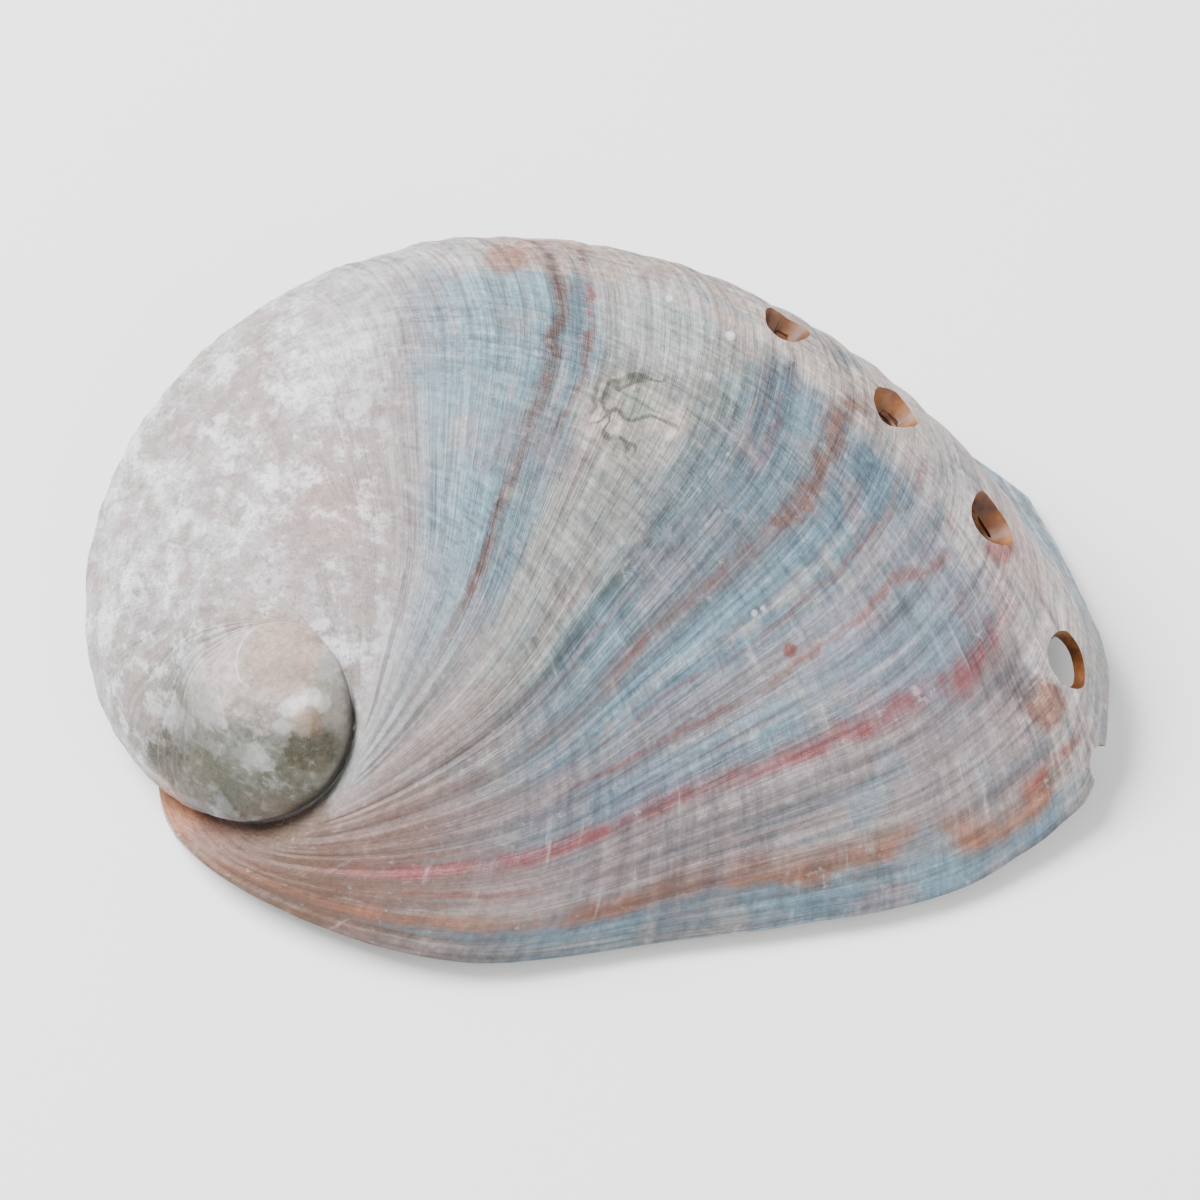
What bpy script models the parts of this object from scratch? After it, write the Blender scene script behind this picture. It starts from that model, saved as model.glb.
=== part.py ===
"""Abalone shell, one ear-shaped shell grown as a single piece, metres, +Z up.

The shell rests on the rim of its open side. +X is the growing front end, the spire sits
near -X, the row of breathing holes runs along the +Y side.

The outside is swept by growth: the edge curve of today is turned about a leaning axis and
shrunk towards the apex for every earlier age. Age is measured as a turning angle, nought at
the growing edge and negative for older shell.
"""
import math

import bmesh
import bpy
import numpy as np
from mathutils import Matrix, Vector

MM = 0.001

# Growth spiral, lengths in millimetres
APEX = (-33.0, -14.4, 22.2)
COIL_AXIS = (-0.43, -0.61, 1.0)
GROWTH_PER_RADIAN = 0.359
SUTURE_LAG_DEG = 190.0

# Edge curve of today from the suture round the near side to the far front corner
EDGE_POINTS = (
    (-37.9, -23.8, 2.4),
    (-17.3, -33.6, 2.1),
    (0.8, -32.6, 0.8),
    (20.1, -29.8, 0.8),
    (34.3, -26.3, 0.9),
    (44.6, -19.8, 2.2),
    (48.6, -13.9, 4.2),
    (49.6, -4.5, 6.0),
    (47.9, 4.2, 5.0),
    (45.8, 11.4, 4.6),
    (43.1, 17.8, 4.3),
)
HOLE_ROW_POINT = 7

# Far wall, brought down to the resting plane, and the soft limit that keeps the rim level
RIM_HEIGHT = 0.8
RIM_FADE_DEG = 45.0
LEVEL_STIFFNESS = 1.2

# Rounded nucleus of the spire
NUCLEUS_AGE_DEG = -560.0
NUCLEUS_FADE_DEG = 120.0

# Wall
WALL = 1.9
WALL_AT_EDGE = 0.65
WALL_EDGE_DEG = 22.0
WALL_FULL_SCALE = 0.16
WALL_MIN = 0.3
FOOT_EXTRA = 1.1
FOOT_SHARE = 0.12

# Breathing holes, oldest last, length along the row and width across it
FIRST_HOLE_DEG = 8.2
HOLE_STEP_DEG = 12.4
HOLE_SIZES = ((5.8, 4.2), (5.4, 3.9), (5.0, 3.6), (4.6, 3.3))
NOTCH_SIZE = (4.0, 3.2)
CUT_DEPTH = 6.0
CUT_SIDES = 20
HOLE_PROBE_DEG = 2.0
HOLE_PROBE_SHARE = 0.04

# Mesh
FINE_STEP_DEG = 5.0
COARSE_STEP_DEG = 10.0
FINE_SPAN_DEG = 60.0
COLUMN_RUNS = ((0.0, 0.1, 5), (0.1, 0.58, 12), (0.58, 1.0, 13))
MERGE = 0.00001

# Puts the middle of the bounding box over the origin and the lowest point on the plane
SHIFT = (0.32, -2.339, 0.705)

SHELL_COLOUR = (0.47, 0.43, 0.43, 1.0)
SHELL_ROUGHNESS = 0.5


def smooth(x):
    """Smooth step from nought to one."""
    x = min(max(x, 0.0), 1.0)
    return x * x * (3.0 - 2.0 * x)


def turned(point, degrees):
    """Where a point of the edge of today stood at an earlier age."""
    angle = math.radians(degrees)
    apex = Vector(APEX)
    turn = Matrix.Rotation(-angle, 3, Vector(COIL_AXIS).normalized())
    return apex + math.exp(GROWTH_PER_RADIAN * angle) * (turn @ (Vector(point) - apex))


def spline_slopes(points):
    """Second derivatives of the natural cubic spline through evenly spaced points."""
    count = len(points)
    system = np.eye(count)
    right = np.zeros((count, 3))
    for i in range(1, count - 1):
        system[i, i - 1:i + 2] = (1.0, 4.0, 1.0)
        right[i] = 6.0 * (points[i - 1] - 2.0 * points[i] + points[i + 1])
    return np.linalg.solve(system, right)


START_POINT = tuple(turned(EDGE_POINTS[-1], -SUTURE_LAG_DEG))
KNOTS = np.array((START_POINT,) + EDGE_POINTS)
BENDS = spline_slopes(KNOTS)
HOLE_ROW = HOLE_ROW_POINT / len(EDGE_POINTS)


def edge_curve(u):
    """Point of the growing edge, u from 0 at the suture to 1 at the far front corner."""
    place = u * (len(KNOTS) - 1)
    i = min(int(place), len(KNOTS) - 2)
    b = place - i
    a = 1.0 - b
    bend = (a ** 3 - a) * BENDS[i] + (b ** 3 - b) * BENDS[i + 1]
    return a * KNOTS[i] + b * KNOTS[i + 1] + bend / 6.0


def levelled(z):
    """Height kept softly above the rim, so that every part of the rim lies near one plane."""
    over = LEVEL_STIFFNESS * (z - RIM_HEIGHT)
    return RIM_HEIGHT + float(np.logaddexp(0.0, over)) / LEVEL_STIFFNESS


def surface(age, u):
    """Outside of the shell at an age in degrees and a place along the edge curve."""
    point = turned(edge_curve(u), age)
    corner = turned(EDGE_POINTS[-1], age)
    fade = smooth((-age - (SUTURE_LAG_DEG - RIM_FADE_DEG)) / RIM_FADE_DEG)
    drop = (corner.z - RIM_HEIGHT) * (1.0 - fade)
    point.z = levelled(point.z - drop * smooth((u - HOLE_ROW) / (1.0 - HOLE_ROW)))
    closing = age - SUTURE_LAG_DEG * (1.0 - u)
    keep = smooth((closing - NUCLEUS_AGE_DEG) / NUCLEUS_FADE_DEG)
    apex = Vector(APEX)
    return apex + (point - apex) * keep


def wall_share(age, u):
    """Share of the greatest wall thickness at a place."""
    closing = age - SUTURE_LAG_DEG * (1.0 - u)
    scale = math.exp(GROWTH_PER_RADIAN * math.radians(closing))
    at_edge = WALL_AT_EDGE + (1.0 - WALL_AT_EDGE) * smooth(-age / WALL_EDGE_DEG)
    along = math.sin(math.pi * min(-age / SUTURE_LAG_DEG, 1.0))
    foot = 1.0 + FOOT_EXTRA * along * smooth((u - 1.0 + FOOT_SHARE) / FOOT_SHARE)
    spire = max(min(scale / WALL_FULL_SCALE, 1.0), WALL_MIN / WALL)
    return spire * at_edge * foot / (1.0 + FOOT_EXTRA)


def ages():
    """Ages of the mesh rows, close together near the edge and one suture lag before it."""
    rows = []
    age = 0.0
    while age > NUCLEUS_AGE_DEG:
        rows.append(age)
        since = -age % SUTURE_LAG_DEG
        age -= FINE_STEP_DEG if since < FINE_SPAN_DEG - 0.001 else COARSE_STEP_DEG
    rows.append(NUCLEUS_AGE_DEG)
    return rows


def columns():
    """Places of the mesh columns along the edge curve, closest where it bends most."""
    places = [0.0]
    for low, high, count in COLUMN_RUNS:
        places += [low + (high - low) * (i + 1) / count for i in range(count)]
    return places


def place(point):
    """Millimetres of the growth frame to metres of the part."""
    return (Vector(point) + Vector(SHIFT)) * MM


def shell_skin():
    """Open outside skin of the shell with the wall thickness as a vertex group."""
    rows = ages()
    cols = columns()
    bm = bmesh.new()
    layer = bm.verts.layers.deform.verify()
    bmesh.ops.create_grid(bm, x_segments=len(cols) - 1, y_segments=len(rows) - 1, size=0.5)
    for vert in bm.verts:
        u = cols[round((vert.co.x + 0.5) * (len(cols) - 1))]
        age = rows[round((vert.co.y + 0.5) * (len(rows) - 1))]
        vert.co = place(surface(age, u))
        vert[layer][0] = wall_share(age, u)
    bmesh.ops.remove_doubles(bm, verts=list(bm.verts), dist=MERGE)
    bmesh.ops.dissolve_degenerate(bm, edges=list(bm.edges), dist=MERGE)
    bmesh.ops.recalc_face_normals(bm, faces=list(bm.faces))
    if sum(face.normal.z * face.calc_area() for face in bm.faces) < 0.0:
        bmesh.ops.reverse_faces(bm, faces=list(bm.faces))
    mesh = bpy.data.meshes.new("shell")
    bm.to_mesh(mesh)
    bm.free()
    return mesh


def oval_cut(bm, age, size):
    """Oval rod through the wall at one place of the hole row."""
    centre = surface(age, HOLE_ROW)
    ahead = surface(age + HOLE_PROBE_DEG, HOLE_ROW)
    behind = surface(age - HOLE_PROBE_DEG, HOLE_ROW)
    along = (ahead - behind).normalized()
    across = surface(age, HOLE_ROW + HOLE_PROBE_SHARE) - surface(age, HOLE_ROW - HOLE_PROBE_SHARE)
    up = along.cross(across).normalized()
    side = up.cross(along)
    turn = Matrix((along, side, up)).transposed().to_4x4()
    matrix = Matrix.Translation(place(centre)) @ turn
    made = bmesh.ops.create_cone(bm, cap_ends=True, segments=CUT_SIDES, radius1=0.5 * MM,
                                 radius2=0.5 * MM, depth=2.0 * CUT_DEPTH * MM)
    bmesh.ops.scale(bm, vec=(size[0], size[1], 1.0), verts=made["verts"])
    bmesh.ops.transform(bm, matrix=matrix, verts=made["verts"])


def hole_cutter():
    """All the oval rods that open the holes and the notch of the next one."""
    bm = bmesh.new()
    for index, size in enumerate(HOLE_SIZES):
        oval_cut(bm, -(FIRST_HOLE_DEG + HOLE_STEP_DEG * index), size)
    oval_cut(bm, 0.0, NOTCH_SIZE)
    bmesh.ops.recalc_face_normals(bm, faces=list(bm.faces))
    mesh = bpy.data.meshes.new("hole_cutter")
    bm.to_mesh(mesh)
    bm.free()
    return mesh


def shell_material():
    """Weathered shell, pale lilac grey."""
    material = bpy.data.materials.new("shell")
    material.use_nodes = True
    shader = material.node_tree.nodes["Principled BSDF"]
    shader.inputs["Base Color"].default_value = SHELL_COLOUR
    shader.inputs["Roughness"].default_value = SHELL_ROUGHNESS
    shader.inputs["Metallic"].default_value = 0.0
    return material


def main():
    """Build the shell."""
    for obj in list(bpy.data.objects):
        bpy.data.objects.remove(obj, do_unlink=True)
    scene = bpy.context.scene
    cutters = bpy.data.collections.new("cutters")
    scene.collection.children.link(cutters)
    cutter = bpy.data.objects.new("hole_cutter", hole_cutter())
    cutters.objects.link(cutter)
    cutter.hide_render = True
    cutter.display_type = "WIRE"

    shell = bpy.data.objects.new("shell", shell_skin())
    scene.collection.objects.link(shell)
    shell.data.materials.append(shell_material())
    shell.vertex_groups.new(name="wall")
    solidify = shell.modifiers.new("wall", "SOLIDIFY")
    solidify.thickness = WALL * (1.0 + FOOT_EXTRA) * MM
    solidify.offset = -1.0
    solidify.vertex_group = "wall"
    holes = shell.modifiers.new("holes", "BOOLEAN")
    holes.operation = "DIFFERENCE"
    holes.solver = "EXACT"
    holes.object = cutter


main()
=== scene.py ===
"""Weathered abalone shell: its skin, holes and finish, and the stage it is shown on."""

import math

import bmesh
import bpy
import numpy as np
from bpy.props import FloatProperty, PointerProperty
from mathutils import Matrix, Vector, noise


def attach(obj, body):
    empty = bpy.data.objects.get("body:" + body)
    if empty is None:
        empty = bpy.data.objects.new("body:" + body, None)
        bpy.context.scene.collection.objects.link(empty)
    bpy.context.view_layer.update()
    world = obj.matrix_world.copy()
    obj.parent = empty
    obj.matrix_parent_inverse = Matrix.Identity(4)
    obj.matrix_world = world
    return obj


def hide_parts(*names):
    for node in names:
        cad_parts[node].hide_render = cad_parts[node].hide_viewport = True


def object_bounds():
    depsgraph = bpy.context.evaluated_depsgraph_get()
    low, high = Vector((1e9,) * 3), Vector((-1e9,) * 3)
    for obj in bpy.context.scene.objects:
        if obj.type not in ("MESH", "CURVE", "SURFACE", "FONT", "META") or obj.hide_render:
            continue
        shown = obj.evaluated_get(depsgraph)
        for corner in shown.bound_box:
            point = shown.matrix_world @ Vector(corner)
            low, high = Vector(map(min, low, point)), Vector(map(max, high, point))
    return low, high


bl_info = {
    "name": "Abalone Shell",
    "version": (1, 0, 0),
    "blender": (4, 5, 0),
    "location": "View3D > Sidebar > Abalone",
    "description": "Builds a weathered abalone shell with its growth bands and breathing holes",
    "category": "Add Mesh",
}

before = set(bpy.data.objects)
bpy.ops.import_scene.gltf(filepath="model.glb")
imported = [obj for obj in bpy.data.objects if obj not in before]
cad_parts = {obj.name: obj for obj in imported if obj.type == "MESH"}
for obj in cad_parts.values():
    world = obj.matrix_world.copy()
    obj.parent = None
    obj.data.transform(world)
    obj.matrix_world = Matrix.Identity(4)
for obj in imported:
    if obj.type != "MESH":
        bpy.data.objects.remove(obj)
CAD_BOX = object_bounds()

MM = 0.001

# Growth spiral in millimetres, the same as the solid's
APEX = (-33.0, -14.4, 22.2)
COIL_AXIS = (-0.43, -0.61, 1.0)
GROWTH_PER_RADIAN = 0.359
SUTURE_LAG_DEG = 190.0
EDGE_POINTS = (
    (-37.9, -23.8, 2.4),
    (-17.3, -33.6, 2.1),
    (0.8, -32.6, 0.8),
    (20.1, -29.8, 0.8),
    (34.3, -26.3, 0.9),
    (44.6, -19.8, 2.2),
    (48.6, -13.9, 4.2),
    (49.6, -4.5, 6.0),
    (47.9, 4.2, 5.0),
    (45.8, 11.4, 4.6),
    (43.1, 17.8, 4.3),
)
HOLE_ROW_POINT = 7
ROW_RADIUS = 86.0
EDGE_LENGTH = 190.0
RIM_HEIGHT = 0.8
RIM_FADE_DEG = 45.0
LEVEL_STIFFNESS = 1.2
NUCLEUS_AGE_DEG = 560.0
NUCLEUS_FADE_DEG = 120.0
TIP_RADIUS = 0.4
TIP_AGE_DEG = 420.0
SHIFT = (0.32, -2.339, 0.705)

# Breathing holes
FIRST_HOLE_DEG = 8.2
HOLE_STEP_DEG = 12.4
HOLE_SIZES = ((5.8, 4.2), (5.4, 3.9), (5.0, 3.6), (4.6, 3.3))
NOTCH_SIZE = (4.0, 3.2)
CLOSED_HOLES = 8
CLOSED_SIZE = (5.2, 4.0)
CLOSED_SHRINK = 0.4
CUT_BELOW = 4.0
CUT_ABOVE = 3.0
CUT_SIDES = 96
PROBE_DEG = 2.0
PROBE_SHARE = 0.04

# Painted shade: the inside takes the dark hole wall finish this many millimetres round the middle of an
# open hole, so that the view in through the hole is dark. It also covers the folds of the inner wall there.
PAINTED_SHADE_REACH = 4.0

# Wall
WALL_AT_EDGE = 0.65
WALL_EDGE_DEG = 22.0
WALL_FULL_SCALE = 0.4
WALL_MIN_SHARE = 0.12
HOLE_COLLAR = 0.35
COLLAR_REACH = 2.2
HOLE_TAPERS = (0.08, 0.20, 0.20, 0.20, 0.0)
HOLE_LEANS = (0.0, 0.5, 0.5, 0.5, 0.0)

# Worn cap over the oldest turns, and the bead of the first shell beside it
CAP_PLACE = (-28.0, -9.0, 23.0)
CAP_CORE = 7.0
CAP_REACH = 9.8
CAP_PASSES = 70
CAP_WALL = 0.4
BEAD_PLACE = (-27.4, -16.8, 18.9)
BEAD_WIDTH = 2.1
BEAD_HEIGHT = 1.1

# Crease of the suture, softened between the turns
CREASE_SHARE = 0.07
CREASE_FROM_DEG = 12.0
CREASE_PASSES = 16
CREASE_WALL = 0.5

# Near the suture the wall gives way where the skin folds: reach along the edge, how even the
# normals are where it starts and how far up to full, least share of the wall
FOLD_SHARE = 0.3
FOLD_FROM = 0.5
FOLD_SPAN = 0.4
FOLD_WALL = 0.03

# Thick foot of the far wall
FOOT_EXTRA = 1.1
FOOT_SHARE = 0.12

# Relief: growth ridges and cords as noise, in steps per degree of growth and per edge length
COARSE_RIDGES = (0.42, 3.0, 1.3)
BROAD_RIDGES = (0.16, 2.0, 7.9)
BROAD_SHARE = 0.6
RIDGE_MIN = 0.35
CORD_DRIFT = 0.0006
CORD_BREAKS = (0.04, 9.0, 4.4)
CORD_MIN = 0.3
CORD_FROM = 0.12
RELIEF_WORN_DEG = (310.0, 100.0)
RELIEF_FADES = (0.16, 0.03)

# Raised rings of open holes and dimpled bumps of closed ones: height, place, width, dimple
RING_HEIGHT = 0.3
RING_PLACE = 1.3
RING_WIDTH = 0.8
BUMP_HEIGHT = 0.55
DIMPLE_SHARE = 0.9
DIMPLE_WIDTH = 0.45

# Swelling of the hole that forms next and the dent behind it: age, place, height, width
SWELLINGS = ((8.8, 0.567, 0.9, 2.6), (11.5, 0.545, -0.5, 2.4))
MM_PER_DEG = 1.25

# Healed scar: age and place of its middle, its half widths, border, lumps
SCAR_AGE = (62.5, 8.0)
SCAR_U = (0.412, 0.045)
SCAR_BORDER = (0.28, 0.95, 0.16)
SCAR_LUMPS = (0.55, 90.0, 2.2)
LUMP_HEIGHT = 0.3
SCAR_END = 1.8
LUMPS_END = 1.6

# Loss of the outer layer on the old dome: depth, first and last degree, noise per millimetre
WORN_DEPTH = 0.12
WORN_FROM_DEG = 80.0
WORN_SPAN_DEG = 50.0
WORN_SCALES = (0.32, 0.8)

# Chips of the edge: reach in degrees, noise along the edge, where they start
CHIP_REACH_DEG = 3.0
CHIP_NOISE = (30.0, 0.4, 3.1)
CHIPS_FROM = 0.06

# Mesh rows are this many degrees of growth apart, fine in the first stretch of each lag
FINE_STEP_DEG = 1.0
COARSE_STEP_DEG = 2.0
FINE_SPAN_DEG = 60.0
COLUMN_RUNS = ((0.0, 0.1, 14), (0.1, 0.58, 54), (0.58, 0.7, 26), (0.7, 1.0, 20))
MERGE = 0.00001
ALL_AXES = {"use_axis_x": True, "use_axis_y": True, "use_axis_z": True}

# Order of the shell's materials after the outer one, and the angle from which an edge is sharp
NACRE = 1
RIM = 2
HOLE_WALL_AND_SHADE = 3
SHARP_DEG = 45.0

# Camera, set from the photograph: distance and aim in millimetres
CAMERA_ELEVATION = 60.0
CAMERA_DISTANCE = 480.0
CAMERA_AIM = (0.0, 0.0, 12.0)
FRAME_WIDTH = 115.7


def linear(hex_colour, alpha=1.0):
    """Linear colour of an sRGB hex value such as #a0b1c2."""
    parts = [int(hex_colour[i:i + 2], 16) / 255.0 for i in (1, 3, 5)]
    flat = [c / 12.92 if c <= 0.04045 else ((c + 0.055) / 1.055) ** 2.4 for c in parts]
    return tuple(flat) + (alpha,)


def smooth(x):
    """Smooth step from nought to one."""
    x = min(max(x, 0.0), 1.0)
    return x * x * (3.0 - 2.0 * x)


def bump_at(distance, width):
    """Round bump of height one at distance nought."""
    return math.exp(-(distance / width) ** 2)


def turned(point, age):
    """Where a point of the growing edge stood when the shell was an age younger."""
    angle = math.radians(age)
    apex = Vector(APEX)
    turn = Matrix.Rotation(angle, 3, Vector(COIL_AXIS).normalized())
    return apex + math.exp(-GROWTH_PER_RADIAN * angle) * (turn @ (Vector(point) - apex))


def spline_bends(points):
    """Second derivatives of the natural cubic spline through evenly spaced points."""
    count = len(points)
    system = np.eye(count)
    right = np.zeros((count, 3))
    for i in range(1, count - 1):
        system[i, i - 1:i + 2] = (1.0, 4.0, 1.0)
        right[i] = 6.0 * (points[i - 1] - 2.0 * points[i] + points[i + 1])
    return np.linalg.solve(system, right)


KNOTS = np.array((tuple(turned(EDGE_POINTS[-1], SUTURE_LAG_DEG)),) + EDGE_POINTS)
BENDS = spline_bends(KNOTS)
HOLE_ROW = HOLE_ROW_POINT / len(EDGE_POINTS)


def edge_curve(u):
    """Point of the growing edge, u from 0 at the suture to 1 at the far front corner."""
    place = u * (len(KNOTS) - 1)
    i = min(int(place), len(KNOTS) - 2)
    b = place - i
    a = 1.0 - b
    bend = (a ** 3 - a) * BENDS[i] + (b ** 3 - b) * BENDS[i + 1]
    return a * KNOTS[i] + b * KNOTS[i + 1] + bend / 6.0


def levelled(z):
    """Height kept softly above the rim, so that every part of the rim lies near one plane."""
    over = LEVEL_STIFFNESS * (z - RIM_HEIGHT)
    return RIM_HEIGHT + float(np.logaddexp(0.0, over)) / LEVEL_STIFFNESS


def skin(age, u):
    """Smooth outside of the shell in millimetres of the growth frame."""
    point = turned(edge_curve(u), age)
    corner = turned(EDGE_POINTS[-1], age)
    fade = smooth((age - (SUTURE_LAG_DEG - RIM_FADE_DEG)) / RIM_FADE_DEG)
    drop = (corner.z - RIM_HEIGHT) * (1.0 - fade)
    point.z = levelled(point.z - drop * smooth((u - HOLE_ROW) / (1.0 - HOLE_ROW)))
    closing = age + SUTURE_LAG_DEG * (1.0 - u)
    keep = smooth((NUCLEUS_AGE_DEG - closing) / NUCLEUS_FADE_DEG)
    apex = Vector(APEX)
    return apex + (point - apex) * keep


def place(point):
    """Millimetres of the growth frame to metres of the part."""
    return (Vector(point) + Vector(SHIFT)) * MM


def wall_share(age, u):
    """Share of the greatest wall thickness at a place."""
    closing = age + SUTURE_LAG_DEG * (1.0 - u)
    scale = math.exp(-GROWTH_PER_RADIAN * math.radians(closing))
    at_edge = WALL_AT_EDGE + (1.0 - WALL_AT_EDGE) * smooth(age / WALL_EDGE_DEG)
    along = math.sin(math.pi * min(age / SUTURE_LAG_DEG, 1.0))
    foot = 1.0 + FOOT_EXTRA * along * smooth((u - 1.0 + FOOT_SHARE) / FOOT_SHARE)
    spire = max(min(scale / WALL_FULL_SCALE, 1.0), WALL_MIN_SHARE)
    nearest = min(hole_distance(index, age, u) for index in range(len(HOLE_SIZES)))
    collar = 1.0 + HOLE_COLLAR * smooth(COLLAR_REACH - nearest)
    seam = min(u, 1.0 - u if age > SUTURE_LAG_DEG else 1.0) / CREASE_SHARE
    full = max(smooth(seam), 1.0 - smooth(closing / SUTURE_LAG_DEG - 1.0))
    thin = CREASE_WALL + (1.0 - CREASE_WALL) * full
    return spire * at_edge * foot * collar * thin / (1.0 + FOOT_EXTRA)


def hole_distance(index, age, u):
    """How far a place lies from a breathing hole, in half widths of the hole."""
    size = math.exp(-GROWTH_PER_RADIAN * math.radians(age))
    if index < len(HOLE_SIZES):
        length, width = HOLE_SIZES[index]
    else:
        length, width = (side * size ** CLOSED_SHRINK for side in CLOSED_SIZE)
    away = (age - FIRST_HOLE_DEG - HOLE_STEP_DEG * index) * math.radians(1.0) * ROW_RADIUS * size
    side = (u - HOLE_ROW) * EDGE_LENGTH * size
    return math.hypot(away / (0.5 * length), side / (0.5 * width))


def noise_at(age, u, steps):
    """Noise in growth coordinates: steps per degree, steps per edge length and seed."""
    return noise.noise((age * steps[0], u * steps[1], steps[2]))


def relief(age, u, settings):
    """Height of the shell's own relief in millimetres: ridges, cords, collars and the scar."""
    size = math.exp(-GROWTH_PER_RADIAN * math.radians(age))
    ridges = noise_at(age, u, COARSE_RIDGES) + BROAD_SHARE * noise_at(age, u, BROAD_RIDGES)
    cords = math.sin(2.0 * math.pi * (u + CORD_DRIFT * age) / settings.cord_spacing)
    cords *= 0.5 + 0.5 * noise_at(age, u, CORD_BREAKS)
    height = settings.ridge_height * ridges * (RIDGE_MIN + (1.0 - RIDGE_MIN) * size)
    cords *= (CORD_MIN + (1.0 - CORD_MIN) * size) * smooth(u / CORD_FROM)
    height += settings.cord_height * cords
    height *= smooth((RELIEF_WORN_DEG[0] - age) / RELIEF_WORN_DEG[1])
    for index in range(len(HOLE_SIZES) + CLOSED_HOLES):
        ring = hole_distance(index, age, u)
        if index < len(HOLE_SIZES):
            height += RING_HEIGHT * bump_at(ring - RING_PLACE, RING_WIDTH)
        else:
            dimple = DIMPLE_SHARE * bump_at(ring, DIMPLE_WIDTH)
            height += BUMP_HEIGHT * size ** 0.5 * (bump_at(ring, 1.0) - dimple)
    for swell_age, swell_u, swell, width in SWELLINGS:
        away = math.hypot((age - swell_age) * MM_PER_DEG, (u - swell_u) * EDGE_LENGTH)
        height += swell * bump_at(away, width)
    scar = math.hypot((age - SCAR_AGE[0]) / SCAR_AGE[1], (u - SCAR_U[0]) / SCAR_U[1])
    if scar < SCAR_END:
        rise, ring, width = SCAR_BORDER
        height += rise * bump_at(scar - ring, width)
        height += LUMP_HEIGHT * noise_at(age, u, SCAR_LUMPS) * smooth(LUMPS_END - scar)
    return height


def worn(co, age):
    """Loss of the outer layer on the older dome, in millimetres, from noise on real sizes."""
    old = smooth((age - WORN_FROM_DEG) / WORN_SPAN_DEG)
    if old == 0.0:
        return 0.0
    point = Vector(co) / MM
    pits = noise.noise(point * WORN_SCALES[0]) + 0.5 * noise.noise(point * WORN_SCALES[1])
    return -WORN_DEPTH * old * pits


def worn_cap(bm, wall):
    """Rub the step between the oldest turns down to one smooth cap, as sand does."""
    centre = place(CAP_PLACE)
    around = [vert for vert in bm.verts if (vert.co - centre).length < (CAP_REACH + 2.0) * MM]
    flat = np.array([((v.co.x - centre.x) / MM, (v.co.y - centre.y) / MM, (v.co.z - centre.z) / MM)
                     for v in around])
    weight = np.sqrt([sum(face.calc_area() for face in vert.link_faces) for vert in around])
    x, y, z = flat.T
    terms = np.stack([x ** i * y ** j for i in range(4) for j in range(4 - i)], axis=1)
    solved = np.linalg.lstsq(terms * weight[:, None], z * weight, rcond=None)[0]
    inside = [vert for vert in around if (vert.co - centre).length < CAP_REACH * MM]
    for vert in inside:
        vert[wall][0] *= CAP_WALL
    for _ in range(CAP_PASSES):
        bmesh.ops.smooth_vert(bm, verts=inside, factor=0.5, **ALL_AXES)
    for vert, height in zip(around, terms @ solved):
        reach = (CAP_REACH - (vert.co - centre).length / MM) / (CAP_REACH - CAP_CORE)
        vert.co.z += (centre.z + height * MM - vert.co.z) * smooth(reach)
    for _ in range(CAP_PASSES):
        bmesh.ops.smooth_vert(bm, verts=inside, factor=0.5, **ALL_AXES)


def row_ages():
    """Ages of the mesh rows, one suture lag repeating so that the turns meet vertex to vertex."""
    rows = []
    age = 0.0
    while age < NUCLEUS_AGE_DEG:
        rows.append(age)
        since = age % SUTURE_LAG_DEG
        age += FINE_STEP_DEG if since < FINE_SPAN_DEG - 0.001 else COARSE_STEP_DEG
    rows.append(NUCLEUS_AGE_DEG)
    return rows


def columns():
    """Places of the mesh columns along the edge curve, closest at the hole row."""
    places = [0.0]
    for low, high, count in COLUMN_RUNS:
        places += [low + (high - low) * (i + 1) / count for i in range(count)]
    return places


def closed_tip(bm, growth):
    """Close the very tip, where the rows crowd together, with one small round face."""
    tip = place(APEX)
    crowded = [v for v in bm.verts if (v.co - tip).length < TIP_RADIUS * MM]
    bmesh.ops.delete(bm, geom=crowded, context="VERTS")
    bmesh.ops.delete(bm, geom=[e for e in bm.edges if e.is_wire], context="EDGES")
    ring = [e for e in bm.edges
            if e.is_boundary and (e.verts[0].co - tip).length < 4.0 * TIP_RADIUS * MM]
    closed = bmesh.ops.holes_fill(bm, edges=ring, sides=0)["faces"]
    for face in bmesh.ops.poke(bm, faces=closed)["faces"]:
        for loop in face.loops:
            loop[growth].uv = (TIP_AGE_DEG / 100.0, 0.4)


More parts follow.
